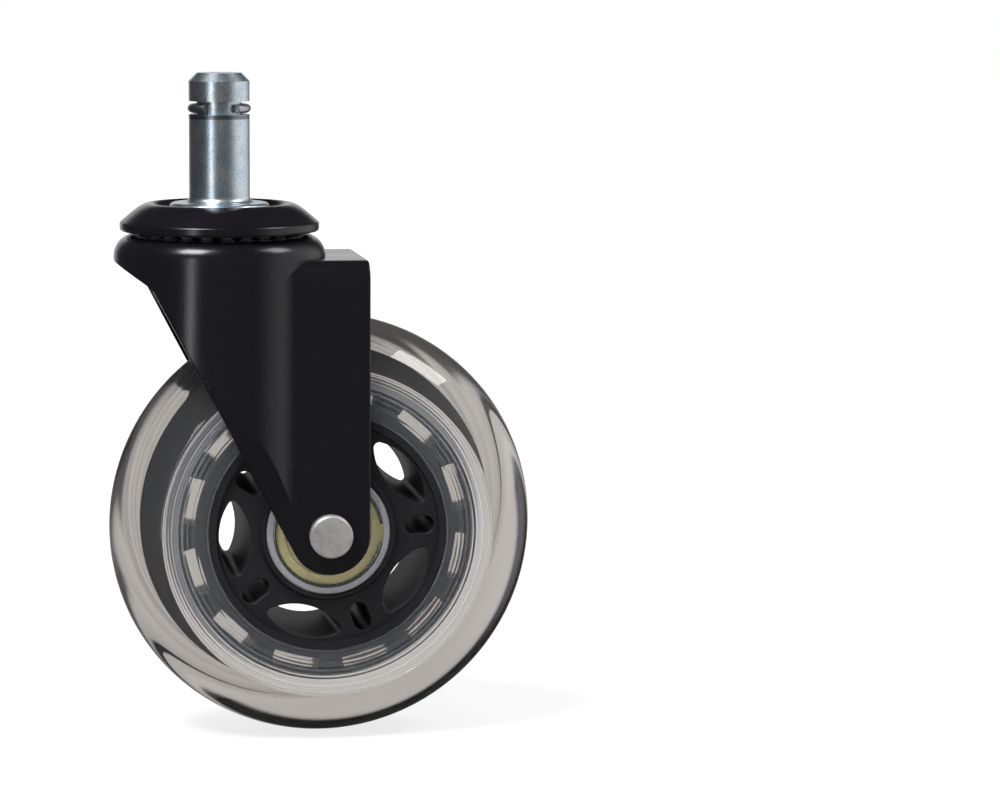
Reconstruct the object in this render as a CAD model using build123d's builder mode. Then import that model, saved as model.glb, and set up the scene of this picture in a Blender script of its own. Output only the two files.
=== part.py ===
"""Swivel caster for a chair: a stem that plugs into the chair leg, a pressed steel fork that
swivels under it on two rings of loose balls, and a clear tyred wheel on two ball bearings.

Frame: millimetres, +Z up the stem. The origin is on the stem's axis, on the upper face of its
flange. The wheel trails towards +X, and the axle runs along Y. Left is -Y, right is +Y.
"""
import os
from math import asin, atan2, cos, pi, radians, sin, sqrt

from build123d import *

# ---------------------------------------------------------------- driving dimensions
# Stem and its flange
stem_diameter = 10.8
stem_height = 22.9
head_height = 5.0
head_chamfer = 1.45
ring_groove_height = 2.3
stem_base_fillet = 1.2
flange_diameter = 17.8
flange_thickness = 1.9
flange_edge_radius = 0.85
kingpin_diameter = 8.0
kingpin_peen_height = 2.0
kingpin_peen_spread = 1.6
kingpin_peen_chamfer = 1.0

# Grip ring: an open ring of round wire in the groove of the stem
grip_wire_diameter = 1.6
grip_ring_proud = 0.225
grip_ring_drop = 1.26
grip_opening_angle = 70

# Cap over the swivel, which is also the upper ball race
cap_inset = 1.1
cap_sheet = 1.4
cap_recess_gap = 0.9
cap_crest_run = 2.0
cap_crest_height = 1.6
cap_edge_drop = 3.5
cap_rim_height = 1.5
cap_inner_rim_height = 1.05
cap_edge_fillet = 0.49
cap_rise_start = 0.6
cap_rise_slope = 0.15
cap_fall_slope = 0.85
cap_under_slope = 0.25

# Swivel balls
swivel_ball_diameter = 3.175
swivel_ball_spacing = 1.08
race_depth = 0.25
race_margin = 1.5
kingpin_hole_gap = 1.2
lower_race_sheet = 1.6
lower_race_lip = 1.0
lower_race_flare = 1.2
lower_race_edge = 0.4

# Fork
fork_sheet = 1.9
dome_bulge = 3.75
dome_top_drop = 5.6
dome_shoulder_radius = 3.8
crown_drop = 9.5
crown_bend_radius = 3.4
leg_end_radius = 7.1
lip_drop = 10.3
knee_forward = 13.0
knee_drop = 14.2
knee_radius = 3.0
fork_edge_radius = 0.35
taper_start_drop = 33.0
dome_blend_radius = 8.0

# Wheel
wheel_diameter = 76.0
wheel_width = 24.0
tyre_arc_radius = 14.5
tyre_shoulder_drop = 8.6
tyre_side_inset = 0.6
trail = 18.0
throat_clearance = 8.5
tyre_thickness = 17.0
hub_face_inset = 1.3
hub_rim_inset = 0.4
hub_rim_wall = 1.1
hub_rim_slope = 0.2
hub_boss_wall = 1.4
hub_boss_slope = 0.6
hub_seat_chamfer = 0.4
hub_edge_radius = 0.25
rib_height_left = 5.6
rib_height_right = 7.4
rib_thickness = 12.6
rib_window_count = 12
rib_window_width = 8.4
rib_window_height_left = 2.1
rib_window_height_right = 4.1
rib_window_foot_left = 2.2
rib_window_foot_right = 0.9
rib_window_angle = 17.2
window_count = 5
window_length = 14.6
window_share = 0.78
window_outset = 0.45
window_narrowing_share = 0.33
window_corner_share = 0.175
window_angle = 39.0
slot_share = 0.71
slot_width = 3.1
slot_narrowing_share = 0.5

# Wheel bearings (608 size) and the axle
bearing_bore = 8.0
bearing_diameter = 22.0
bearing_width = 7.0
bearing_ball_diameter = 3.969
bearing_ball_count = 7
race_shoulder = 1.35
race_chamfer = 0.3
cage_wall = 1.0
cage_edge = 0.35
shield_sheet = 0.3
shield_bead_height = 0.24
shield_bead_slope = 0.25
shield_bead_width = 0.5
shield_seat_depth = 0.95
shield_seat_wall = 1.15
snap_wire_diameter = 0.56
snap_opening_angle = 24
centre_spacer_diameter = 11.0
side_spacer_diameter = 10.0
side_spacer_thickness = 1.15
spacer_chamfer = 0.2
axle_tail_diameter = 6.2
axle_peen_diameter = 7.6
axle_peen_thickness = 1.8
axle_peen_chamfer = 0.35
axle_head_diameter = 9.3
axle_head_thickness = 2.3
axle_head_fillet = 1.38

# Clearances
press_gap = 0.015
ball_gap = 0.04
swivel_gap = 0.3

# How far a cutting shape runs past what it cuts, and how near counts as being at a place
overrun = 1.0
near = 0.01

# ---------------------------------------------------------------- places worked out from them
wheel_radius = wheel_diameter / 2
wheel_half = wheel_width / 2
hub_radius = wheel_radius - tyre_thickness
axle_drop = crown_drop + fork_sheet + throat_clearance + wheel_radius
axle_z = -axle_drop
fork_back = trail + leg_end_radius
leg_inner = wheel_half + side_spacer_thickness
leg_half = leg_inner + fork_sheet
fork_width = 2 * leg_half
dome_radius = leg_half + dome_bulge
dome_diameter = 2 * dome_radius

stem_radius = stem_diameter / 2
flange_radius = flange_diameter / 2
kingpin_radius = kingpin_diameter / 2
grip_wire_radius = grip_wire_diameter / 2
grip_centre_radius = stem_radius + grip_ring_proud - grip_wire_radius
ring_groove_radius = grip_centre_radius - grip_wire_radius - press_gap
ring_groove_top = stem_height - head_height
ring_groove_bottom = ring_groove_top - ring_groove_height

swivel_ball_radius = swivel_ball_diameter / 2
kingpin_hole_radius = kingpin_radius + kingpin_hole_gap
upper_race_radius = dome_radius - dome_shoulder_radius - race_margin
lower_race_radius = kingpin_hole_radius + race_margin + swivel_ball_radius
upper_ball_z = -dome_top_drop - race_depth + ball_gap + swivel_ball_radius
lower_ball_z = -dome_top_drop - fork_sheet + race_depth - ball_gap - swivel_ball_radius
lower_race_top = lower_ball_z - swivel_ball_radius - ball_gap + race_depth
lower_race_bottom = lower_race_top - lower_race_sheet
kingpin_end = lower_race_bottom - kingpin_peen_height

bearing_radius = bearing_diameter / 2
bore_radius = bearing_bore / 2
pitch_radius = (bore_radius + bearing_radius) / 2
inner_race_radius = pitch_radius - race_shoulder
outer_race_bore = pitch_radius + race_shoulder
bearing_outer_face = wheel_half
bearing_inner_face = bearing_outer_face - bearing_width
bearing_centre = bearing_outer_face - bearing_width / 2

# The view from the left: local x is X, local y is Z, and an offset moves towards -Y
axle_side = Plane(origin=(trail, 0, axle_z), x_dir=(1, 0, 0), z_dir=(0, -1, 0))
# A half section through the axle: local x is Y and local y is the distance from the axle
axle_section = Plane(origin=(trail, 0, axle_z), x_dir=(0, 1, 0), z_dir=(1, 0, 0))
axle_line = Axis((trail, 0, axle_z), (0, 1, 0))

os.makedirs("parts", exist_ok=True)


def save(piece, name):
    """Label one finished piece and write it as its own STEP file."""
    piece.label = name
    export_step(piece, f"parts/{name}.step")


# ---------------------------------------------------------------- stem
with BuildPart() as stem:
    with BuildSketch(Plane.XZ):
        with BuildLine():
            Polyline(
                (0, stem_height),
                (stem_radius, stem_height),
                (stem_radius, ring_groove_top),
                (ring_groove_radius, ring_groove_top),
                (ring_groove_radius, ring_groove_bottom),
                (stem_radius, ring_groove_bottom),
                (stem_radius, 0),
                (flange_radius, 0),
                (flange_radius, -flange_thickness),
                (kingpin_radius, -flange_thickness),
                (kingpin_radius, kingpin_end),
                (0, kingpin_end),
                close=True,
            )
        make_face()
    revolve(axis=Axis.Z)
    top_edge = stem.edges().filter_by(GeomType.CIRCLE).sort_by(Axis.Z)[-1]
    chamfer(top_edge, head_chamfer)
    at_flange_top = stem.edges().filter_by(GeomType.CIRCLE).filter_by_position(Axis.Z, -near, near)
    fillet(at_flange_top.sort_by(SortBy.RADIUS)[0], stem_base_fillet)
    rim = stem.edges().filter_by(GeomType.CIRCLE).filter_by_position(
        Axis.Z, -flange_thickness - near, near
    )
    fillet(rim.group_by(SortBy.RADIUS)[-1], flange_edge_radius)
    # the riveted end spreads under the lower race
    with BuildSketch(Plane.XY.offset(kingpin_end)):
        Circle(kingpin_radius + kingpin_peen_spread)
    extrude(amount=kingpin_peen_height)
    peen_edge = stem.edges().filter_by(GeomType.CIRCLE).group_by(Axis.Z)[0]
    chamfer(peen_edge, kingpin_peen_chamfer)
save(stem.part, "stem")

# ---------------------------------------------------------------- grip ring
grip_ring_z = ring_groove_top - grip_ring_drop
grip_start = -90 + grip_opening_angle / 2
with BuildPart() as grip_ring:
    with BuildLine() as grip_wire:
        CenterArc((0, 0, grip_ring_z), grip_centre_radius, grip_start, 360 - grip_opening_angle)
    with BuildSketch(Plane(origin=grip_wire.line @ 0, z_dir=grip_wire.line % 0)):
        Circle(grip_wire_radius)
    sweep()
save(grip_ring.part, "grip_ring")

# ---------------------------------------------------------------- cap over the swivel
cap_radius = dome_radius - cap_inset
recess_radius = flange_radius + cap_recess_gap
rise_radius = recess_radius - cap_rise_start
crest_radius = recess_radius + cap_crest_run
recess_floor = -flange_thickness
crest_z = recess_floor + cap_crest_height
cap_bottom = -cap_edge_drop - cap_rim_height
cap_bore = kingpin_radius + press_gap
with BuildPart() as top_cap:
    with BuildSketch(Plane.XZ) as cap_half:
        with BuildLine():
            floor_edge = Line((cap_bore, recess_floor), (rise_radius, recess_floor))
            crest = Spline(
                floor_edge @ 1,
                (crest_radius, crest_z),
                (cap_radius, -cap_edge_drop),
                tangents=((1, cap_rise_slope), (1, -cap_fall_slope)),
            )
            rim = Line(crest @ 1, (cap_radius, cap_bottom))
            bottom = Line(rim @ 1, (cap_radius - cap_sheet, cap_bottom))
            inner_rim = Line(bottom @ 1, (cap_radius - cap_sheet, cap_bottom + cap_inner_rim_height))
            under = Spline(
                inner_rim @ 1,
                (upper_race_radius, upper_ball_z + swivel_ball_radius + ball_gap),
                (rise_radius, recess_floor - cap_sheet),
                tangents=((-cap_under_slope, 1), (-1, -cap_rise_slope)),
            )
            under_floor = Line(under @ 1, (cap_bore, recess_floor - cap_sheet))
            Line(under_floor @ 1, (cap_bore, recess_floor))
        make_face()
    revolve(axis=Axis.Z)
    widest = top_cap.edges().filter_by(GeomType.CIRCLE).group_by(SortBy.RADIUS)[-1]
    fillet(widest, cap_edge_fillet)
    with BuildSketch(Plane.XZ):
        with Locations((upper_race_radius, upper_ball_z)):
            Circle(swivel_ball_radius + ball_gap)
    revolve(axis=Axis.Z, mode=Mode.SUBTRACT)
save(top_cap.part, "top_cap")


# ---------------------------------------------------------------- fork
def fork_body(inset):
    """The solid that the fork's sheet wraps, drawn in by a distance on every side.

    A round drum stands under the cap and a box-shaped channel runs from it to the back.
    Seen from behind, the drum's bulge tapers down to the channel's flat sides.
    """
    half = leg_half - inset
    radius = dome_radius - inset
    bottom = axle_z - leg_end_radius - overrun
    crown = -crown_drop - inset
    dome_top = -dome_top_drop - inset
    with BuildPart(mode=Mode.PRIVATE) as body:
        with BuildSketch(Plane.XY.offset(bottom)) as outline:
            Circle(radius)
            with Locations((fork_back / 2, 0)):
                Rectangle(fork_back, 2 * half)
            meeting = outline.vertices().filter_by_position(Axis.X, near, fork_back - near)
            fillet(meeting, dome_blend_radius + inset)
        extrude(amount=crown - bottom)
        around_crown = body.edges().group_by(Axis.Z)[-1].filter_by_position(
            Axis.X, -dome_diameter, fork_back - near
        )
        fillet(around_crown, crown_bend_radius - inset)
        with BuildSketch(Plane.XY.offset(crown - crown_bend_radius)):
            Circle(radius)
        extrude(amount=dome_top - crown + crown_bend_radius)
        dome_rim = body.edges().filter_by(GeomType.CIRCLE).group_by(Axis.Z)[-1]
        fillet(dome_rim, dome_shoulder_radius - inset)
        with BuildSketch(Plane.YZ.offset(-dome_diameter)) as front_view:
            with BuildLine() as taper:
                up = Line((radius + overrun, 0), (radius + overrun, -taper_start_drop))
                across = Line(up @ 1, (radius, -taper_start_drop))
                curve = Spline(
                    across @ 1, (half, axle_z), tangents=((0, -1), (0, -1))
                )
                down = Line(curve @ 1, (half, bottom - overrun))
                base = Line(down @ 1, (0, bottom - overrun))
                Line(base @ 1, (0, 0))
                Line((0, 0), up @ 0)
            make_face()
            mirror(about=Plane.YZ)
        extrude(amount=3 * dome_diameter, mode=Mode.INTERSECT)
    return body.part


def leg_front_tangent():
    """Where the straight front edge of a leg meets the round end about the axle."""
    run = trail + knee_forward
    drop = axle_drop - knee_drop
    reach = sqrt(run**2 + drop**2)
    edge_angle = atan2(-drop, run) - asin(leg_end_radius / reach)
    normal = edge_angle - pi / 2
    return (trail + leg_end_radius * cos(normal), axle_z + leg_end_radius * sin(normal))


lip_slope = (knee_drop - lip_drop) / (dome_radius - knee_forward)
lip_run = dome_radius + overrun - knee_forward
with BuildPart() as fork:
    add(fork_body(0))
    # the side view of the legs: a short skirt in front, then a straight edge down to the axle
    with BuildSketch(Plane.XZ.offset(-dome_diameter)) as side_view:
        with BuildLine():
            Polyline(
                (-knee_forward - lip_run, 0),
                (-knee_forward - lip_run, -knee_drop + lip_slope * lip_run),
                (-knee_forward, -knee_drop),
                leg_front_tangent(),
                (trail, axle_z),
                (fork_back, axle_z),
                (fork_back, 0),
                close=True,
            )
        make_face()
        knee = side_view.vertices().filter_by_position(
            Axis.X, -knee_forward - near, -knee_forward + near
        )
        fillet(knee, knee_radius)
        with Locations((trail, axle_z)):
            Circle(leg_end_radius)
    extrude(amount=2 * dome_diameter, mode=Mode.INTERSECT)
    # the press rounds the outside of the cut edges; the rounding runs on around the back
    cut_edges = fork.edges(Select.NEW).filter_by(Axis.Y, reverse=True)
    fillet(cut_edges, fork_edge_radius)
    add(fork_body(fork_sheet), mode=Mode.SUBTRACT)
    # the kingpin's hole and the two ball grooves in the crown
    with BuildSketch(Plane.XY.offset(-dome_top_drop - fork_sheet * 2)):
        Circle(kingpin_hole_radius)
    extrude(amount=fork_sheet * 4, mode=Mode.SUBTRACT)
    with BuildSketch(Plane.XZ):
        with Locations((upper_race_radius, upper_ball_z), (lower_race_radius, lower_ball_z)):
            Circle(swivel_ball_radius + ball_gap)
    revolve(axis=Axis.Z, mode=Mode.SUBTRACT)
    # the axle's holes: the right one takes the whole shank, the left one its thinner tail
    with BuildSketch(axle_side):
        Circle(axle_tail_diameter / 2 + press_gap)
    extrude(amount=fork_width, mode=Mode.SUBTRACT)
    with BuildSketch(axle_side):
        Circle(bore_radius)
    extrude(amount=-fork_width, mode=Mode.SUBTRACT)
save(fork.part, "fork")

# ---------------------------------------------------------------- lower race and swivel balls
lower_race_bore = kingpin_radius + press_gap
lower_race_rim = lower_race_radius + swivel_ball_radius + lower_race_lip
with BuildPart() as lower_race:
    with BuildSketch(Plane.XZ):
        with BuildLine():
            Polyline(
                (lower_race_bore, lower_race_top),
                (lower_race_rim, lower_race_top),
                (lower_race_rim + lower_race_flare, lower_race_top + lower_race_flare),
                (lower_race_rim + lower_race_flare, lower_race_top - lower_race_edge),
                (lower_race_rim, lower_race_bottom),
                (lower_race_bore, lower_race_bottom),
                close=True,
            )
        make_face()
        with Locations((lower_race_radius, lower_ball_z)):
            Circle(swivel_ball_radius + ball_gap, mode=Mode.SUBTRACT)
    revolve(axis=Axis.Z)
save(lower_race.part, "lower_race")

for name, height, ring_radius in (
    ("upper_balls", upper_ball_z, upper_race_radius),
    ("lower_balls", lower_ball_z, lower_race_radius),
):
    ball_count = int(2 * pi * ring_radius / (swivel_ball_diameter * swivel_ball_spacing))
    with BuildPart() as swivel_balls:
        with Locations(Plane.XY.offset(height)):
            with PolarLocations(ring_radius, ball_count):
                Sphere(swivel_ball_radius)
    save(swivel_balls.part, name)

# ---------------------------------------------------------------- axle rivet and spacers
shank_radius = bore_radius - press_gap
with BuildPart() as axle:
    with BuildSketch(axle_section):
        with BuildLine():
            Polyline(
                (-leg_half - axle_peen_thickness, 0),
                (-leg_half - axle_peen_thickness, axle_peen_diameter / 2 - axle_peen_chamfer),
                (-leg_half - axle_peen_thickness + axle_peen_chamfer, axle_peen_diameter / 2),
                (-leg_half, axle_peen_diameter / 2),
                (-leg_half, axle_tail_diameter / 2),
                (-leg_inner, axle_tail_diameter / 2),
                (-leg_inner, shank_radius),
                (leg_half, shank_radius),
                (leg_half, axle_head_diameter / 2),
                (leg_half + axle_head_thickness, axle_head_diameter / 2),
                (leg_half + axle_head_thickness, 0),
                close=True,
            )
        make_face()
    revolve(axis=axle_line)
    head_edge = axle.edges().filter_by(GeomType.CIRCLE).sort_by(Axis.Y)[-1]
    fillet(head_edge, axle_head_fillet)
save(axle.part, "axle")


def ring_on_axle(inner, outer, start, end):
    """A plain ring about the axle between two places along Y."""
    with BuildPart(mode=Mode.PRIVATE) as ring:
        with BuildSketch(axle_section):
            with Locations(((start + end) / 2, (inner + outer) / 2)):
                Rectangle(abs(end - start), outer - inner)
        revolve(axis=axle_line)
        edges = ring.edges().filter_by(GeomType.CIRCLE).group_by(SortBy.RADIUS)[-1]
        chamfer(edges, spacer_chamfer)
    return ring.part


for side, hand in ((-1, "left"), (1, "right")):
    spacer = ring_on_axle(
        bore_radius, side_spacer_diameter / 2, side * bearing_outer_face, side * leg_inner
    )
    save(spacer, f"side_spacer_{hand}")

centre_spacer = ring_on_axle(
    bore_radius, centre_spacer_diameter / 2, -bearing_inner_face, bearing_inner_face
)
save(centre_spacer, "centre_spacer")


# ---------------------------------------------------------------- wheel bearings
ball_radius = bearing_ball_diameter / 2
groove_radius = ball_radius + ball_gap
shield_seat_radius = bearing_radius - shield_seat_wall
half_width = bearing_width / 2
seat_face = half_width - shield_seat_depth
snap_wire_radius = snap_wire_diameter / 2
cage_half = ball_radius + cage_edge


def revolved(centre, outline):
    """A solid of revolution about the axle from an outline of (along Y, radius) points."""
    with BuildPart(mode=Mode.PRIVATE) as turned:
        with BuildSketch(axle_section):
            with BuildLine():
                Polyline(*[(centre + along, radius) for along, radius in outline], close=True)
            make_face()
        revolve(axis=axle_line)
    return turned.part


def race(centre, outline):
    """A bearing race: a turned ring with its ball groove cut in."""
    with BuildPart(mode=Mode.PRIVATE) as ring:
        add(revolved(centre, outline))
        with BuildSketch(axle_section):
            with Locations((centre, pitch_radius)):
                Circle(groove_radius)
        revolve(axis=axle_line, mode=Mode.SUBTRACT)
    return ring.part


def ball_places(centre):
    """The centres of one bearing's balls."""
    ring = Plane(origin=(trail, centre, axle_z), x_dir=(1, 0, 0), z_dir=(0, -1, 0))
    places = []
    for index in range(bearing_ball_count):
        turn = radians(360 * index / bearing_ball_count)
        places.append(ring.from_local_coords(Vector(cos(turn), sin(turn)) * pitch_radius))
    return places


for side, hand in ((-1, "left"), (1, "right")):
    centre = side * bearing_centre

    inner_race = race(centre, [
        (-half_width, bore_radius),
        (-half_width, inner_race_radius),
        (half_width, inner_race_radius),
        (half_width, bore_radius),
    ])
    save(inner_race, f"inner_race_{hand}")

    outer_race = race(centre, [
        (-half_width, bearing_radius - race_chamfer),
        (-half_width + race_chamfer, bearing_radius),
        (half_width - race_chamfer, bearing_radius),
        (half_width, bearing_radius - race_chamfer),
        (half_width, shield_seat_radius),
        (seat_face, shield_seat_radius),
        (seat_face, outer_race_bore),
        (-seat_face, outer_race_bore),
        (-seat_face, shield_seat_radius),
        (-half_width, shield_seat_radius),
    ])
    save(outer_race, f"outer_race_{hand}")

    with BuildPart() as bearing_balls:
        with Locations(*ball_places(centre)):
            Sphere(ball_radius)
    save(bearing_balls.part, f"bearing_balls_{hand}")

    with BuildPart() as cage:
        add(revolved(centre, [
            (-cage_half, pitch_radius - cage_wall / 2),
            (-cage_half, pitch_radius + cage_wall / 2),
            (cage_half, pitch_radius + cage_wall / 2),
            (cage_half, pitch_radius - cage_wall / 2),
        ]))
        for place in ball_places(centre):
            outward = place - Vector(trail, centre, axle_z)
            with BuildSketch(Plane(origin=place, z_dir=outward)):
                Circle(ball_radius + ball_gap)
            extrude(amount=cage_wall, both=True, mode=Mode.SUBTRACT)
    save(cage.part, f"cage_{hand}")

    for out, face in ((side, "outer"), (-side, "inner")):
        shield_base = seat_face + press_gap
        shield_face = shield_base + shield_sheet
        shield_bead = shield_face + shield_bead_height
        shield_edge = shield_seat_radius - press_gap
        shield = revolved(centre, [
            (out * shield_base, shield_edge),
            (out * shield_base, inner_race_radius + swivel_gap),
            (out * shield_face, inner_race_radius + swivel_gap),
            (out * shield_face, pitch_radius),
            (out * shield_bead, pitch_radius + shield_bead_slope),
            (out * shield_bead, pitch_radius + shield_bead_slope + shield_bead_width),
            (out * shield_face, pitch_radius + 2 * shield_bead_slope + shield_bead_width),
            (out * shield_face, shield_edge),
        ])
        save(shield, f"shield_{hand}_{face}")

        snap_place = centre + out * (shield_face + snap_wire_radius)
        snap_plane = Plane(origin=(trail, snap_place, axle_z), x_dir=(1, 0, 0), z_dir=(0, -1, 0))
        with BuildPart() as snap_ring:
            with BuildLine(snap_plane) as snap_wire:
                CenterArc(
                    (0, 0),
                    shield_edge - snap_wire_radius,
                    snap_opening_angle / 2,
                    360 - snap_opening_angle,
                )
            with BuildSketch(Plane(origin=snap_wire.line @ 0, z_dir=snap_wire.line % 0)):
                Circle(snap_wire_radius)
            sweep()
        save(snap_ring.part, f"snap_ring_{hand}_{face}")


# ---------------------------------------------------------------- hub
def opening(left_outline, right_outline, reach):
    """What one core of the hub's mould fills, between two outlines that stand reach from the middle."""
    with BuildPart(mode=Mode.PRIVATE) as core:
        with BuildSketch(axle_side.offset(reach)):
            add(left_outline)
        with BuildSketch(axle_side.offset(-reach)):
            add(right_outline)
        loft(ruled=True)
    return core.part


def rib_window(foot, height, angle, gap):
    """A window between two spokes of the rib, as a rectangle on the rib's face."""
    with BuildSketch(mode=Mode.PRIVATE) as placed:
        with PolarLocations(hub_radius + foot + height / 2, 1, start_angle=angle):
            Rectangle(height - 2 * gap, rib_window_width - 2 * gap)
    return placed.sketch


def rib(gap):
    """The broad rib around the hub that keys into the tyre, grown by a gap on every side.

    It is a sleeve on short spokes, and it flares from left to right. The tyre is cast through
    the windows between the spokes, so they shrink as the rib grows.
    """
    half_thickness = rib_thickness / 2 + gap
    with BuildPart(mode=Mode.PRIVATE) as ring:
        with BuildSketch(axle_side.offset(half_thickness)):
            Circle(hub_radius + rib_height_left + gap)
        with BuildSketch(axle_side.offset(-half_thickness)):
            Circle(hub_radius + rib_height_right + gap)
        loft(ruled=True)
        with BuildSketch(axle_side.offset(-half_thickness)):
            Circle(hub_radius - hub_rim_wall / 2)
        extrude(amount=2 * half_thickness, mode=Mode.SUBTRACT)
        for index in range(rib_window_count):
            angle = rib_window_angle + 360 * index / rib_window_count
            add(opening(
                rib_window(rib_window_foot_left, rib_window_height_left, angle, gap),
                rib_window(rib_window_foot_right, rib_window_height_right, angle, gap),
                half_thickness,
            ), mode=Mode.SUBTRACT)
    return ring.part


def petal(length, width, angle):
    """A pointed oval on the hub's face: two equal arcs that meet at rounded tips."""
    tip = (0, length / 2)
    other_tip = (0, -length / 2)
    with BuildSketch(mode=Mode.PRIVATE) as outline:
        with BuildLine():
            ThreePointArc(other_tip, (width / 2, 0), tip)
            ThreePointArc(tip, (-width / 2, 0), other_tip)
        make_face()
        fillet(outline.vertices(), width * window_corner_share)
    with BuildSketch(mode=Mode.PRIVATE) as placed:
        with PolarLocations(web_radius, 1, start_angle=angle):
            add(outline.sketch)
    return placed.sketch


def slot(length, width, angle):
    """A short round-ended slot on the hub's face, its long way outwards."""
    with BuildSketch(mode=Mode.PRIVATE) as placed:
        with PolarLocations(web_radius, 1, start_angle=angle):
            SlotOverall(length, width)
    return placed.sketch


hub_face = wheel_half - hub_face_inset
hub_rim_face = wheel_half - hub_rim_inset
rim_inner = hub_radius - hub_rim_wall
boss_radius = bearing_radius + hub_boss_wall
seat_radius = bearing_radius + press_gap
web_outer = rim_inner - hub_rim_slope
web_height = web_outer - boss_radius
web_radius = (boss_radius + web_outer) / 2 + window_outset
window_width = web_height * window_share
window_narrowing = window_width * window_narrowing_share
slot_length = web_height * slot_share
slot_narrowing = slot_width * slot_narrowing_share
half_hub = [
    (bearing_inner_face - press_gap, outer_race_bore),
    (bearing_inner_face - press_gap, seat_radius),
    (wheel_half - hub_seat_chamfer, seat_radius),
    (wheel_half, seat_radius + hub_seat_chamfer),
    (wheel_half, boss_radius - hub_boss_slope),
    (hub_face, boss_radius),
    (hub_face, web_outer),
    (hub_rim_face, rim_inner),
    (hub_rim_face, hub_radius),
]
with BuildPart() as hub:
    mirrored_half = [(-along, radius) for along, radius in reversed(half_hub)]
    add(revolved(0, half_hub + mirrored_half))
    add(rib(0))
    # petal-shaped windows and short slots take turns around the web
    for index in range(window_count):
        angle = window_angle + 360 * index / window_count
        add(opening(
            petal(window_length, window_width, angle),
            petal(window_length - window_narrowing, window_width - window_narrowing, angle),
            hub_face,
        ), mode=Mode.SUBTRACT)
        angle += 180 / window_count
        add(opening(
            slot(slot_length, slot_width, angle),
            slot(slot_length - slot_narrowing, slot_width - slot_narrowing, angle),
            hub_face,
        ), mode=Mode.SUBTRACT)
    # the moulded openings are rounded where they meet the two faces
    for side in (-1, 1):
        face_y = side * hub_face
        web_face = hub.faces().filter_by_position(Axis.Y, face_y - near, face_y + near)[0]
        around_openings = web_face.inner_wires().sort_by(SortBy.LENGTH)[:-1]
        fillet(around_openings.edges(), hub_edge_radius)
save(hub.part, "hub")

# ---------------------------------------------------------------- tyre
# The sides are flat up to a crisp shoulder. From there each flank is one arc to the crown, and
# the two arcs meet in a low ridge.
tyre_side = wheel_half - tyre_side_inset
shoulder_radius = wheel_radius - tyre_shoulder_drop
tyre_bore = hub_radius + press_gap
with BuildPart() as tyre:
    with BuildSketch(axle_section):
        with BuildLine():
            Line((0, wheel_radius), (0, tyre_bore))
            Line((0, tyre_bore), (tyre_side, tyre_bore))
            Line((tyre_side, tyre_bore), (tyre_side, shoulder_radius))
            RadiusArc((tyre_side, shoulder_radius), (0, wheel_radius), -tyre_arc_radius)
        make_face()
        mirror(about=Plane.YZ)
    revolve(axis=axle_line)
    add(rib(press_gap), mode=Mode.SUBTRACT)
save(tyre.part, "tyre")
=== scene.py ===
# %% [markdown]
# # A swivel chair caster
#
# The construction comes from the CAD model: the stem, the fork, the hub, the two ball bearings
# and every small piece between them, each in its true place. This script gives each piece its
# finish, remakes the clear tyre as one smooth casting, and sets up a camera, a pale floor and
# soft light.

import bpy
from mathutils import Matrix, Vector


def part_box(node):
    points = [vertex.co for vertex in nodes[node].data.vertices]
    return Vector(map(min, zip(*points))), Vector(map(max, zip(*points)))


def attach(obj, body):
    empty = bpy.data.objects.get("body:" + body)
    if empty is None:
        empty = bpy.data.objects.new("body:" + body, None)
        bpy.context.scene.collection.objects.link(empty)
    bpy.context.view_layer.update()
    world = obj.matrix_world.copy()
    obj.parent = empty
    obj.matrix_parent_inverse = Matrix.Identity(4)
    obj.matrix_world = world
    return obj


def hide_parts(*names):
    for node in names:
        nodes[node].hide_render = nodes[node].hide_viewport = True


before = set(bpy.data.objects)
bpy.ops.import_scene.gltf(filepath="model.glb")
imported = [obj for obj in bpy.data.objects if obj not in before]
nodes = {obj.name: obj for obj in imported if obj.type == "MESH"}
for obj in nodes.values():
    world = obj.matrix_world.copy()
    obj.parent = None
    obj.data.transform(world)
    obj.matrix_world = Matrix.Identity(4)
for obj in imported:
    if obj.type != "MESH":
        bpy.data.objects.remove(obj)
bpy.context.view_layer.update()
print("nodes:", len(nodes))

# %% Tools
from math import cos, pi, radians, sin, sqrt

import bpy
import numpy as np
from mathutils import Matrix, Vector

MM = 0.001
scene = bpy.context.scene

# %% [markdown]
# ## Where the wheel is
#
# Everything that turns does so about the axle, so the axle's place is read from the tyre's box
# once, and the finishes that run around the wheel are centred on it.

# %% The axle and the stem
tyre_low, tyre_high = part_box("tyre")
wheel_centre = (tyre_low + tyre_high) / 2
wheel_radius = (tyre_high.z - tyre_low.z) / 2
wheel_half = (tyre_high.y - tyre_low.y) / 2
floor_height = tyre_low.z
print(f"axle at {[round(v / MM, 1) for v in wheel_centre]} mm, wheel {2 * wheel_radius / MM:.1f} mm")

# %% [markdown]
# ## The camera
#
# A long lens stands a little to the left of the caster and a little above it, so the wheel is
# nearly round and the top of the cap just shows. The lens is worked out from how many picture
# widths away the camera stands.

# %% Place the camera
camera_place = Vector((-56.8, -625.2, 45.0)) * MM
camera_turn = radians(9.756)
camera_dip = radians(-7.296)
camera_roll = radians(0.33)
focal_widths = 3.5306

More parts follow.
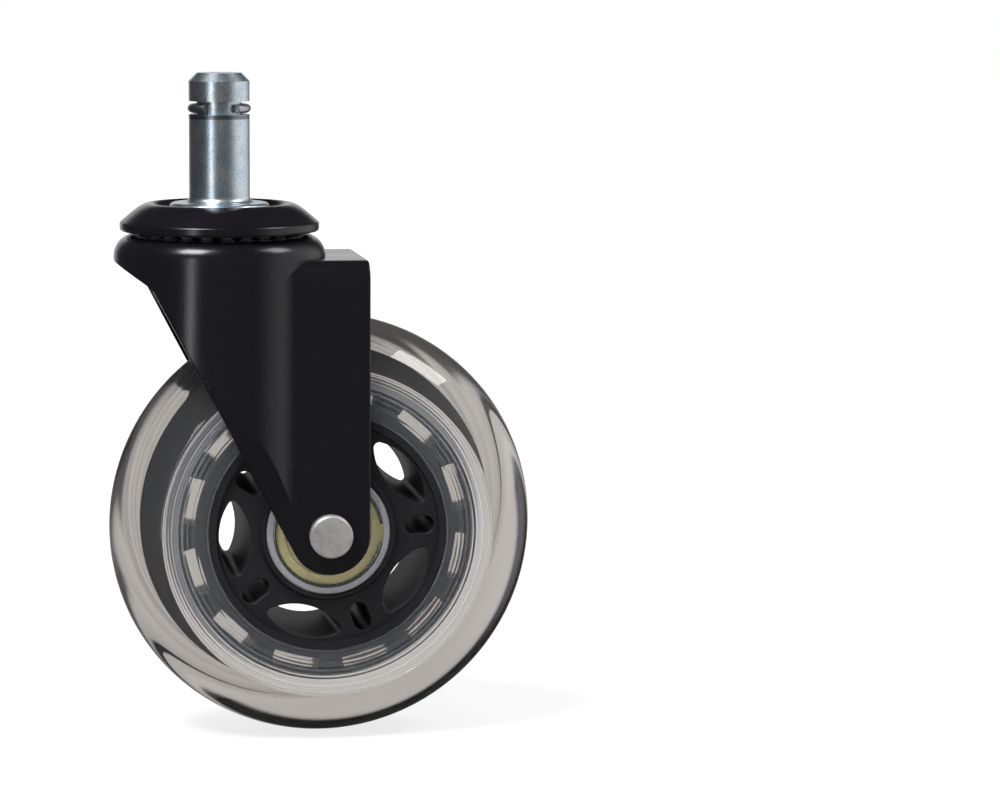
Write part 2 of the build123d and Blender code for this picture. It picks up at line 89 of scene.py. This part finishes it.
camera = bpy.data.objects.new("camera", bpy.data.cameras.new("camera"))
camera.data.sensor_width = 36.0
camera.data.lens = camera.data.sensor_width * focal_widths
camera.data.clip_start = 0.01
camera.data.clip_end = 50.0
ahead = Vector((
    sin(camera_turn) * cos(camera_dip),
    cos(camera_turn) * cos(camera_dip),
    sin(camera_dip),
))
across = ahead.cross(Vector((0, 0, 1))).normalized()
upward = across.cross(ahead)
rolled_across = across * cos(camera_roll) + upward * sin(camera_roll)
rolled_up = upward * cos(camera_roll) - across * sin(camera_roll)
camera.matrix_world = Matrix((
    (rolled_across.x, rolled_up.x, -ahead.x, camera_place.x),
    (rolled_across.y, rolled_up.y, -ahead.y, camera_place.y),
    (rolled_across.z, rolled_up.z, -ahead.z, camera_place.z),
    (0, 0, 0, 1),
))
scene.collection.objects.link(camera)
scene.camera = camera
print(f"lens {camera.data.lens:.1f} mm")

# %% [markdown]
# ## Writing finishes as sums
#
# A procedural finish is arithmetic on noises and distances. Wiring each sum by hand hides the
# sum, so a small class wraps a socket and overloads the operators: `rough + 0.1 * speck` adds
# the Math nodes that do it. Colours are mixed by their own nodes, because a Math node would
# turn them grey. Every other node comes from one method that takes its type, its settings and
# its inputs.


# %% Shader sums
class Amount:
    """A number that varies over a surface, as the socket that carries it."""

    def __init__(self, owner, socket):
        self.owner = owner
        self.socket = socket

    def _sum(self, operation, *given):
        inputs = dict(enumerate(given))
        node = self.owner.node("ShaderNodeMath", {"operation": operation}, inputs)
        return Amount(self.owner, node.outputs[0])

    def __add__(self, other):
        return self._sum("ADD", self, other)

    __radd__ = __add__

    def __mul__(self, other):
        return self._sum("MULTIPLY", self, other)

    __rmul__ = __mul__

    def __sub__(self, other):
        return self._sum("SUBTRACT", self, other)

    def __rsub__(self, other):
        return self._sum("SUBTRACT", other, self)

    def __pow__(self, power):
        return self._sum("POWER", self, power)

    def __abs__(self):
        return self._sum("ABSOLUTE", self)

    def sine(self):
        """The sine of the amount, in radians."""
        return self._sum("SINE", self)

    def above(self, start, end):
        """0 below start, 1 above end, and a smooth ramp between."""
        settings = {"interpolation_type": "SMOOTHSTEP"}
        inputs = {"Value": self, "From Min": start, "From Max": end}
        node = self.owner.node("ShaderNodeMapRange", settings, inputs)
        return Amount(self.owner, node.outputs["Result"])


# %% Node trees
class Tree:
    """The nodes of one material, or of the surroundings."""

    def __init__(self, tree, output):
        self.tree = tree
        self.tree.nodes.clear()
        self.output = self.node(output)
        self.coordinates = self.node("ShaderNodeTexCoord").outputs

    def node(self, kind, settings=None, inputs=None):
        """One node of a kind, with its settings made first and then its inputs filled."""
        made = self.tree.nodes.new(kind)
        for name, value in (settings or {}).items():
            setattr(made, name, value)
        for name, value in (inputs or {}).items():
            socket = made.inputs[name]
            if isinstance(value, Amount):
                value = value.socket
            if isinstance(value, bpy.types.NodeSocket):
                self.tree.links.new(value, socket)
            else:
                socket.default_value = value
        return made

    def parts(self, vector):
        """The three numbers of a vector."""
        made = self.node("ShaderNodeSeparateXYZ", {}, {0: vector})
        return [Amount(self, made.outputs[index]) for index in range(3)]

    def ray(self, kind):
        """1 for rays of a kind, such as Camera, Glossy or Transmission, and 0 for others."""
        made = self.node("ShaderNodeLightPath")
        return Amount(self, made.outputs[f"Is {kind} Ray"])

    def finish(self, shader, socket="Surface"):
        """Send a shader to the output."""
        self.tree.links.new(shader.outputs[0], self.output.inputs[socket])


# %% Finishes
class Finish(Tree):
    """A material under construction: it makes noises and colours, and sets the shader."""

    def __init__(self, name):
        self.material = bpy.data.materials.new(name)
        self.material.use_nodes = True
        super().__init__(self.material.node_tree, "ShaderNodeOutputMaterial")
        self.place = self.coordinates["Object"]

    def spread(self, scale):
        """The object's coordinates, multiplied by a scale along each axis."""
        inputs = {0: self.place, 1: scale}
        made = self.node("ShaderNodeVectorMath", {"operation": "MULTIPLY"}, inputs)
        return made.outputs[0]

    def noise(self, size, detail=2.0, roughness=0.5, place=None):
        """Soft random patches about as large as size, in millimetres, from 0 to 1."""
        inputs = {
            "Vector": place or self.place,
            "Scale": 1.0 / (size * MM),
            "Detail": detail,
            "Roughness": roughness,
        }
        return Amount(self, self.node("ShaderNodeTexNoise", {}, inputs).outputs[0])

    def specks(self, size, share):
        """Small round spots set size millimetres apart, as large as share of that distance."""
        inputs = {"Vector": self.place, "Scale": 1.0 / (size * MM)}
        spots = Amount(self, self.node("ShaderNodeTexVoronoi", {}, inputs).outputs["Distance"])
        return 1 - spots.above(share * 0.6, share)

    def mix(self, amount, first, second):
        """A colour between first and second."""
        made = self.node("ShaderNodeMix", {"data_type": "RGBA"}, {"Factor": amount})
        for socket, value in ((made.inputs[6], first), (made.inputs[7], second)):
            if isinstance(value, bpy.types.NodeSocket):
                self.tree.links.new(value, socket)
            else:
                socket.default_value = (*value, 1.0)
        return made.outputs[2]

    def blend(self, amount, first, second):
        """A shader between first and second."""
        inputs = {0: amount, 1: first.outputs[0], 2: second.outputs[0]}
        return self.node("ShaderNodeMixShader", {}, inputs)

    def bump(self, height, depth):
        """A surface normal tilted by a height, which is depth millimetres at 1."""
        inputs = {"Height": height, "Distance": depth * MM, "Strength": 1.0}
        return self.node("ShaderNodeBump", {}, inputs).outputs[0]

    def about_axle(self):
        """How far right of the axle, above it and away from it a point of the surface lies."""
        x, _, z = self.parts(self.place)
        right, up = x - wheel_centre.x, z - wheel_centre.z
        return right, up, (right**2 + up**2) ** 0.5

    def shade(self, **sockets):
        """Finish with the general shader; underscores in socket names stand for spaces."""
        inputs = {name.replace("_", " "): value for name, value in sockets.items()}
        self.finish(self.node("ShaderNodeBsdfPrincipled", {}, inputs))
        return self.material


def dress(material, *names):
    """Give CAD nodes a finish in place of the one they came with."""
    for name in names:
        mesh = nodes[name].data
        mesh.materials.clear()
        mesh.materials.append(material)
    print(f"{material.name}: {', '.join(names)}")


# %% [markdown]
# ## Black powder coat on the fork and cap
#
# Both pieces are pressed steel under a semi-gloss black coat. Under a soft light such a coat
# shows a broad sheen that is slightly uneven, a fine orange-peel texture, and a few pale specks
# of dust. The sheen comes from the roughness, the orange peel from a shallow bump, and the dust
# from a field of tiny spots that a larger noise thins out.

# %% Black powder coat
coat = Finish("black_powder_coat")
peel = coat.noise(0.7, detail=2.0)
drift = coat.noise(8.0, detail=3.0)
dust = coat.specks(1.5, 0.055) * coat.noise(5.0).above(0.45, 0.60)
black_coat = coat.shade(
    Base_Color=coat.mix(dust * 0.7, (0.0055, 0.0050, 0.0070), (0.20, 0.20, 0.21)),
    Roughness=0.15 + 0.09 * drift + 0.05 * peel,
    Specular_IOR_Level=0.38,
    Normal=coat.bump(peel, 0.014),
)
dress(black_coat, "fork", "top_cap", "lower_race")

# %% [markdown]
# ## Bright zinc plate on the stem
#
# Zinc plate over turned steel is bluish silver with cloudy patches, some faintly yellow, and a
# fine speckle of pits. The lathe leaves very fine rings about the stem's axis. The speckle is
# one noise that sets the colour, the roughness and the bump together, as a pit does. A narrow
# band just below the groove is painted darker.

# %% Bright zinc plate
zinc = Finish("bright_zinc_plate")
cloud = zinc.noise(3.2, detail=4.0, roughness=0.6)
fleck = zinc.noise(0.24, detail=3.0, roughness=0.7)
turning = zinc.noise(1.0, detail=2.0, place=zinc.spread((0.15, 0.15, 5.0)))
tint = zinc.mix(cloud.above(0.35, 0.7), (0.50, 0.61, 0.71), (0.70, 0.73, 0.72))
pitted = zinc.mix(fleck.above(0.34, 0.52), (0.34, 0.40, 0.47), tint)
height = zinc.parts(zinc.place)[2]
# A narrow band just below the groove, from 14.7 to 15.6 mm up, is painted darker.
dark_band = height.above(14.7 * MM, 14.9 * MM) * (1 - height.above(15.5 * MM, 15.6 * MM))
plated = zinc.mix(fleck.above(0.60, 0.76) * 0.6, pitted, (0.78, 0.82, 0.86))
zinc_plate = zinc.shade(
    Base_Color=zinc.mix(dark_band * 0.75, plated, (0.07, 0.07, 0.075)),
    Metallic=1.0,
    Roughness=0.20 + 0.16 * fleck + 0.08 * cloud,
    Normal=zinc.bump(fleck * 0.6 + turning * 0.4, 0.016),
)
dress(zinc_plate, "stem")

# %% [markdown]
# ## Drawn wire
#
# The grip ring and the small rings that hold the bearing shields are drawn wire: smooth, grey
# and faintly scored along its length, with no plating.

# %% Spring wire
wire = Finish("spring_wire")
wire_grain = wire.noise(0.35, detail=2.0)
spring_wire = wire.shade(
    Base_Color=wire.mix(wire_grain, (0.26, 0.28, 0.30), (0.50, 0.52, 0.54)),
    Metallic=1.0,
    Roughness=0.18 + 0.2 * wire_grain,
    Normal=wire.bump(wire_grain, 0.01),
)
snap_rings = [name for name in nodes if name.startswith("snap_ring")]
dress(spring_wire, "grip_ring", *snap_rings)

# %% [markdown]
# ## The axle rivet
#
# The rivet's end was struck flat after plating, so its face is dull, pale and mottled, with
# dark pinholes. It scatters light nearly evenly, so it is only partly metallic.

# %% Struck rivet
rivet = Finish("dull_rivet_zinc")
rivet_grain = rivet.noise(0.5, detail=4.0, roughness=0.7)
rivet_cloud = rivet.noise(2.2, detail=2.0)
rivet_spots = rivet.specks(0.8, 0.16) * rivet.noise(1.7).above(0.5, 0.6)
rivet_face = rivet.mix(rivet_cloud.above(0.3, 0.7), (0.34, 0.33, 0.325), (0.47, 0.46, 0.45))
dull_zinc = rivet.shade(
    Base_Color=rivet.mix(rivet_spots * 0.6, rivet_face, (0.14, 0.14, 0.14)),
    Metallic=0.55,
    Roughness=0.45 + 0.15 * rivet_grain,
    Normal=rivet.bump(rivet_grain, 0.03),
)
dress(dull_zinc, "axle")

# %% [markdown]
# ## Bearings
#
# Races and balls are ground steel, with a bright, nearly even surface. The shields are thin
# pressed discs in a pale yellow zinc that shows as a gold ring behind the fork. Nine small
# notches stand around the rim of each shield, with painted shade in them.

# %% Ground steel
steel = Finish("ground_steel")
steel_grain = steel.noise(0.6, detail=3.0)
ground_steel = steel.shade(
    Base_Color=steel.mix(steel_grain, (0.40, 0.40, 0.41), (0.62, 0.62, 0.63)),
    Metallic=0.6,
    Roughness=0.30 + 0.18 * steel_grain,
    Normal=steel.bump(steel_grain, 0.01),
)
races = [name for name in nodes if "race_" in name]
balls = [name for name in nodes if "balls" in name]
cages = [name for name in nodes if name.startswith("cage")]
dress(ground_steel, *races, *balls, *cages)

# %% Yellow zinc on the shields
gold = Finish("yellow_zinc")
gold_grain = gold.noise(0.8, detail=3.0)
right, up, from_axle = gold.about_axle()
rim_band = from_axle.above(9.2 * MM, 9.4 * MM) * (1 - from_axle.above(9.75 * MM, 9.9 * MM))
around = gold.node("ShaderNodeMath", {"operation": "ARCTAN2"}, {0: up, 1: right})
notch_count = 9
# Painted shade: nine dark marks where the shield's notches stand.
notch_shade = (Amount(gold, around.outputs[0]) * notch_count).sine().above(0.93, 0.97) * rim_band
bright_zinc = gold.mix(gold_grain, (0.68, 0.62, 0.30), (0.90, 0.84, 0.52))
yellow_zinc = gold.shade(
    Base_Color=gold.mix(notch_shade * 0.85, bright_zinc, (0.05, 0.045, 0.03)),
    Metallic=0.65,
    Roughness=0.30 + 0.15 * gold_grain,
    Normal=gold.bump(gold_grain, 0.01),
)
dress(yellow_zinc, *[name for name in nodes if name.startswith("shield")])

# %% [markdown]
# ## Spacers
#
# The spacers between the bearings and the fork are plain steel with a satin black oxide, a
# little browner and rougher than the powder coat.

# %% Satin black steel
satin = Finish("satin_black_steel")
satin_grain = satin.noise(0.6, detail=2.0)
satin_black = satin.shade(
    Base_Color=satin.mix(satin_grain, (0.010, 0.0095, 0.009), (0.020, 0.019, 0.018)),
    Roughness=0.40 + 0.12 * satin_grain,
    Normal=satin.bump(satin_grain, 0.01),
)
dress(satin_black, "side_spacer_left", "side_spacer_right", "centre_spacer")

# %% [markdown]
# ## Black nylon hub
#
# The hub is moulded nylon: near black, with a fine leathery grain that softens its highlights
# and slow flow marks where the melt ran around the windows. Dust gathers on it too. Its rib,
# cast into the tyre, is black with a painted blue sheen, as it shows through the tyre.

# %% Black nylon
nylon = Finish("black_nylon")
nylon_grain = nylon.noise(0.32, detail=3.0)
nylon_flow = nylon.noise(5.0, detail=2.0)
nylon_dust = nylon.specks(1.5, 0.05) * nylon.noise(4.0).above(0.45, 0.6)
_, _, from_axle = nylon.about_axle()
# Painted sheen: the rib inside the tyre is tinted blue.
rib_sheen = from_axle.above(21.1 * MM, 21.6 * MM)
nylon_face = nylon.mix(nylon_flow, (0.009, 0.0085, 0.0105), (0.016, 0.0155, 0.018))
nylon_and_rib_sheen = nylon.mix(rib_sheen, nylon_face, (0.009, 0.017, 0.034))
black_nylon = nylon.shade(
    Base_Color=nylon.mix(nylon_dust * 0.5, nylon_and_rib_sheen, (0.12, 0.12, 0.125)),
    Roughness=0.42 + 0.16 * nylon_grain,
    Specular_IOR_Level=0.30,
    Normal=nylon.bump(nylon_grain, 0.02),
)
dress(black_nylon, "hub")


# %% [markdown]
# ## The clear tyre
#
# The tyre is cast polyurethane, clear enough to show the hub's rib inside it. Its flanks are two
# equal arcs that meet in a low ridge where the mould parts. Its flat sides end at a crisp
# shoulder and carry the fine rings that a lathe left in the mould. It is the CAD tyre's section
# made again as one smooth surface of revolution, because a lens shows every facet. Its bore
# reaches just under the hub's rim, so that no film of air shows between the two.


# %% A surface of revolution
def turned(name, along, radius, steps):
    """A closed surface of revolution about the axle.

    A point at angle t has x = centre x + radius * cos(t), y = centre y + along and
    z = centre z + radius * sin(t). The outline closes on itself.
    """
    turn = np.linspace(0, 2 * pi, steps, endpoint=False)[:, None]
    x = wheel_centre.x + radius[None, :] * np.cos(turn)
    y = wheel_centre.y + along[None, :] + 0 * turn
    z = wheel_centre.z + radius[None, :] * np.sin(turn)
    points = np.stack([x, y, z], axis=-1).reshape(-1, 3)
    count = len(along)
    row, column = np.meshgrid(np.arange(steps), np.arange(count), indexing="ij")
    next_row, next_column = (row + 1) % steps, (column + 1) % count
    faces = np.stack([
        row * count + column,
        row * count + next_column,
        next_row * count + next_column,
        next_row * count + column,
    ], axis=-1).reshape(-1, 4)
    mesh = bpy.data.meshes.new(name)
    mesh.from_pydata(points.tolist(), [], faces.tolist())
    mesh.polygons.foreach_set("use_smooth", np.ones(len(faces), dtype=bool))
    mesh.update()
    piece = bpy.data.objects.new(name, mesh)
    scene.collection.objects.link(piece)
    print(f"{name}: {len(faces)} faces")
    return piece


# %% Outline of the tyre
flank_arc = 14.5 * MM
shoulder_radius = wheel_radius - 8.6 * MM
side_start = 21.3 * MM
bore_edge_radius, bore_edge_depth = 21.0 * MM, 0.3 * MM
tyre_bore, bore_depth = 20.5 * MM, 0.8 * MM
flank_height = wheel_radius - shoulder_radius
chord = sqrt(wheel_half**2 + flank_height**2)
to_centre = sqrt(flank_arc**2 - (chord / 2) ** 2) / chord
arc_radius = (wheel_radius + shoulder_radius) / 2 - to_centre * wheel_half
arc_along = wheel_half / 2 - to_centre * flank_height
print(f"flank arc {flank_arc / MM:.1f} mm about radius {arc_radius / MM:.2f} mm")


def flank_half_width(radius):
    """Half the tyre's width at a radius on the flank.

    The flank is an arc about (arc_along, arc_radius), through the shoulder and the crown.
    """
    return arc_along + np.sqrt(flank_arc**2 - (radius - arc_radius) ** 2)


# %% Rings of the mould
ring_pitches = (0.55, 0.72, 0.93, 1.31, 2.3)
ring_depth = 0.022 * MM
ring_fade = 0.8 * MM
groove_radius = shoulder_radius - 0.24 * MM
groove_spread = 0.09 * MM
groove_depth = 0.09 * MM


def mould_rings(radius):
    """How deep the mould's turned rings sink into the flat side, as a sum of sine waves.

    They fade out at the bore and close to the shoulder, where the sides of the mould left a
    narrow bell-shaped groove.
    """
    starts = np.random.default_rng(608).uniform(0, 2 * pi, len(ring_pitches))
    waves = sum(
        np.sin(2 * pi * radius / (pitch * MM) + start)
        for pitch, start in zip(ring_pitches, starts)
    )
    near_bore = np.clip((radius - side_start) / ring_fade, 0, 1)
    near_shoulder = np.clip((shoulder_radius - radius) / ring_fade, 0, 1)
    groove = groove_depth * np.exp(-(((radius - groove_radius) / groove_spread) ** 2))
    return ring_depth * (len(ring_pitches) - waves) / 2 * near_bore * near_shoulder + groove


# %% The tyre
round_over = 0.10 * MM
groove_start = groove_radius - 3 * groove_spread
flank_radius = wheel_radius - (flank_height - round_over) * (
    1 - np.cos(np.linspace(0, pi / 2, 60))
)
side_radius = np.concatenate([
    np.linspace(shoulder_radius - round_over, groove_start, 14)[:-1],
    np.linspace(groove_start, side_start, 84),
])
right_along = np.concatenate([
    flank_half_width(flank_radius),
    wheel_half - mould_rings(side_radius),
    [wheel_half - bore_edge_depth, wheel_half - bore_depth],
])
right_radius = np.concatenate([flank_radius, side_radius, [bore_edge_radius, tyre_bore]])
along = np.concatenate([right_along, -right_along[:0:-1]])
radius = np.concatenate([right_radius, right_radius[:0:-1]])
tyre = turned("clear_tyre", along, radius, 300)

# %% [markdown]
# ## Clear polyurethane
#
# The body is a general shader that lets light through, with an index of refraction of 1.48 and a
# trace of haze, over a volume that absorbs a little more blue than red, so thick parts turn
# smoky beige. The surface is polished on the flanks. The turned sides are duller, with a thin
# pale veil of scuffs that follows the rings and grows towards the shoulder.

# %% Clear polyurethane
cast = Finish("clear_polyurethane")
_, _, from_axle = cast.about_axle()
turned_side = 1 - from_axle.above(shoulder_radius - 0.2 * MM, shoulder_radius)
swirl = cast.noise(1.1, detail=3.0)
outwards = cast.node("ShaderNodeCombineXYZ", {}, {0: from_axle}).outputs[0]
streak = cast.noise(0.45, detail=3.0, place=outwards)
speck = cast.specks(1.7, 0.035) * cast.noise(5.0).above(0.5, 0.6)
clear = cast.node("ShaderNodeBsdfPrincipled", {}, {
    "Base Color": cast.mix(speck * 0.5, (0.97, 0.97, 0.97), (0.2, 0.2, 0.2)),
    "Roughness": 0.012 + turned_side * (0.10 + 0.10 * swirl),
    "IOR": 1.48,
    "Transmission Weight": 0.982,
})
scuffed = cast.node("ShaderNodeBsdfDiffuse", {}, {"Color": (0.80, 0.82, 0.85, 1.0)})
veil = turned_side * (0.05 + 0.40 * streak.above(0.40, 0.68)) * (
    0.22 + 0.78 * from_axle.above(24.6 * MM, 28.4 * MM)
)
smoke = cast.node("ShaderNodeVolumeAbsorption", {}, {
    "Color": (0.45, 0.40, 0.35, 1.0),
    "Density": 60.0,
})
cast.finish(cast.blend(veil, clear, scuffed))
cast.finish(smoke, "Volume")
tyre.data.materials.append(cast.material)
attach(tyre, "wheel")
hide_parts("tyre")
print(f"{cast.material.name}: {tyre.name}")

# %% [markdown]
# ## The surroundings
#
# Black paint and clear plastic need a dim room around them: a white one would turn the paint grey
# and the plastic flat. So the surroundings depend on the direction and on the kind of ray. Rays
# straight from the camera see white. Rays that passed through the tyre see white along the axle,
# before and behind the wheel, and a dim grey elsewhere. Reflections see white behind, a bright
# wall on the right, a faint one in front, and darkness elsewhere. Light that dull surfaces
# scatter comes from an even grey.

# %% The studio's surroundings
world = bpy.data.worlds.new("studio")
world.use_nodes = True
scene.world = world
room = Tree(world.node_tree, "ShaderNodeOutputWorld")
to_right, to_back, to_top = room.parts(room.coordinates["Generated"])
looked = room.ray("Camera")
through = room.ray("Transmission")
mirrored = room.ray("Glossy") * (1 - through)
scattered = 1 - looked - through - mirrored
sweep = abs(to_back).above(0.56, 0.76) * to_top.above(-0.62, -0.50)
sweep_in_gloss = to_back.above(0.86, 0.97) * to_top.above(-0.5, -0.3)
right_wall = to_right.above(0.55, 0.95)
front_wall = (-1 * to_back).above(0.55, 0.95)
level = (
    looked
    + through * (0.14 + 0.86 * sweep)
    + mirrored * (0.05 + 0.09 * front_wall + 0.95 * right_wall + 0.9 * sweep_in_gloss)
    + scattered * 0.35
)
room.finish(room.node("ShaderNodeBackground", {}, {"Color": (1, 1, 1, 1), "Strength": level}))
print(f"{world.name}: {len(world.node_tree.nodes)} nodes")

# %% [markdown]
# ## Lamps
#
# Three soft boxes light the caster: one in front on the left, one high on the left and one high on
# the right. The first is tall and narrow, so that its reflection in an upright round piece is a
# thin line. All of them face one point in the middle of the caster.


# %% Soft boxes
lit_point = Vector((10, 0, -30)) * MM


def softbox(name, direction, distance, size, brightness):
    """A rectangular lamp that faces the caster from a direction, with an even brightness.

    Its power is brightness * pi * area, so that its face is that many times white.
    """
    lamp = bpy.data.lights.new(name, "AREA")
    lamp.shape = "RECTANGLE"
    lamp.size, lamp.size_y = size
    lamp.energy = brightness * pi * size[0] * size[1]
    body = bpy.data.objects.new(name, lamp)
    heading = Vector(direction).normalized()
    body.location = lit_point + heading * distance
    body.rotation_euler = heading.to_track_quat("Z", "Y").to_euler()
    scene.collection.objects.link(body)
    print(f"{name}: {lamp.energy:.1f} W")


softbox("left_softbox", (-0.585, -0.80, 0.10), 0.9, (0.10, 0.60), 6.0)
softbox("upper_left_softbox", (-0.40, -0.36, 0.84), 0.8, (0.28, 0.28), 27.0)
softbox("upper_right_softbox", (0.66, -0.10, 0.74), 0.9, (0.30, 0.30), 8.0)

# %% [markdown]
# ## The floor
#
# The floor is pale and catches the caster's soft shadow. Close by, part of what the camera sees
# of it is plain diffuse white; further off it fades to the white of the sweep, so that no edge
# shows. Reflections look past it to the surroundings.

# %% The floor
floor_mesh = bpy.data.meshes.new("floor")
floor_reach = 3.0
corners = [(-1, -1), (1, -1), (1, 1), (-1, 1)]
floor_mesh.from_pydata(
    [(x * floor_reach, y * floor_reach, floor_height) for x, y in corners], [], [(0, 1, 2, 3)])
floor = bpy.data.objects.new("floor", floor_mesh)
scene.collection.objects.link(floor)
print(f"floor at {floor_height / MM:.1f} mm")

# %% The floor's finish
ground = Finish("pale_floor")
x, y, _ = ground.parts(ground.place)
from_wheel = ((x - wheel_centre.x) ** 2 + y**2) ** 0.5
glow_share = ground.ray("Camera") * (0.62 + 0.38 * from_wheel.above(0.10, 0.30))
diffuse = ground.node("ShaderNodeBsdfDiffuse", {}, {"Color": (0.88, 0.88, 0.88, 1.0)})
glow = ground.node("ShaderNodeEmission", {}, {"Color": (1, 1, 1, 1), "Strength": 1.25})
unseen = ground.node("ShaderNodeBsdfTransparent")
pale = ground.blend(glow_share, diffuse, glow)
ground.finish(ground.blend(ground.ray("Glossy"), pale, unseen))
floor_mesh.materials.append(ground.material)
print(f"{ground.material.name}: {floor.name}")

# %% [markdown]
# ## Finish
#
# The picture keeps plain colours.

# %% Plain colours
scene.view_settings.view_transform = "Standard"
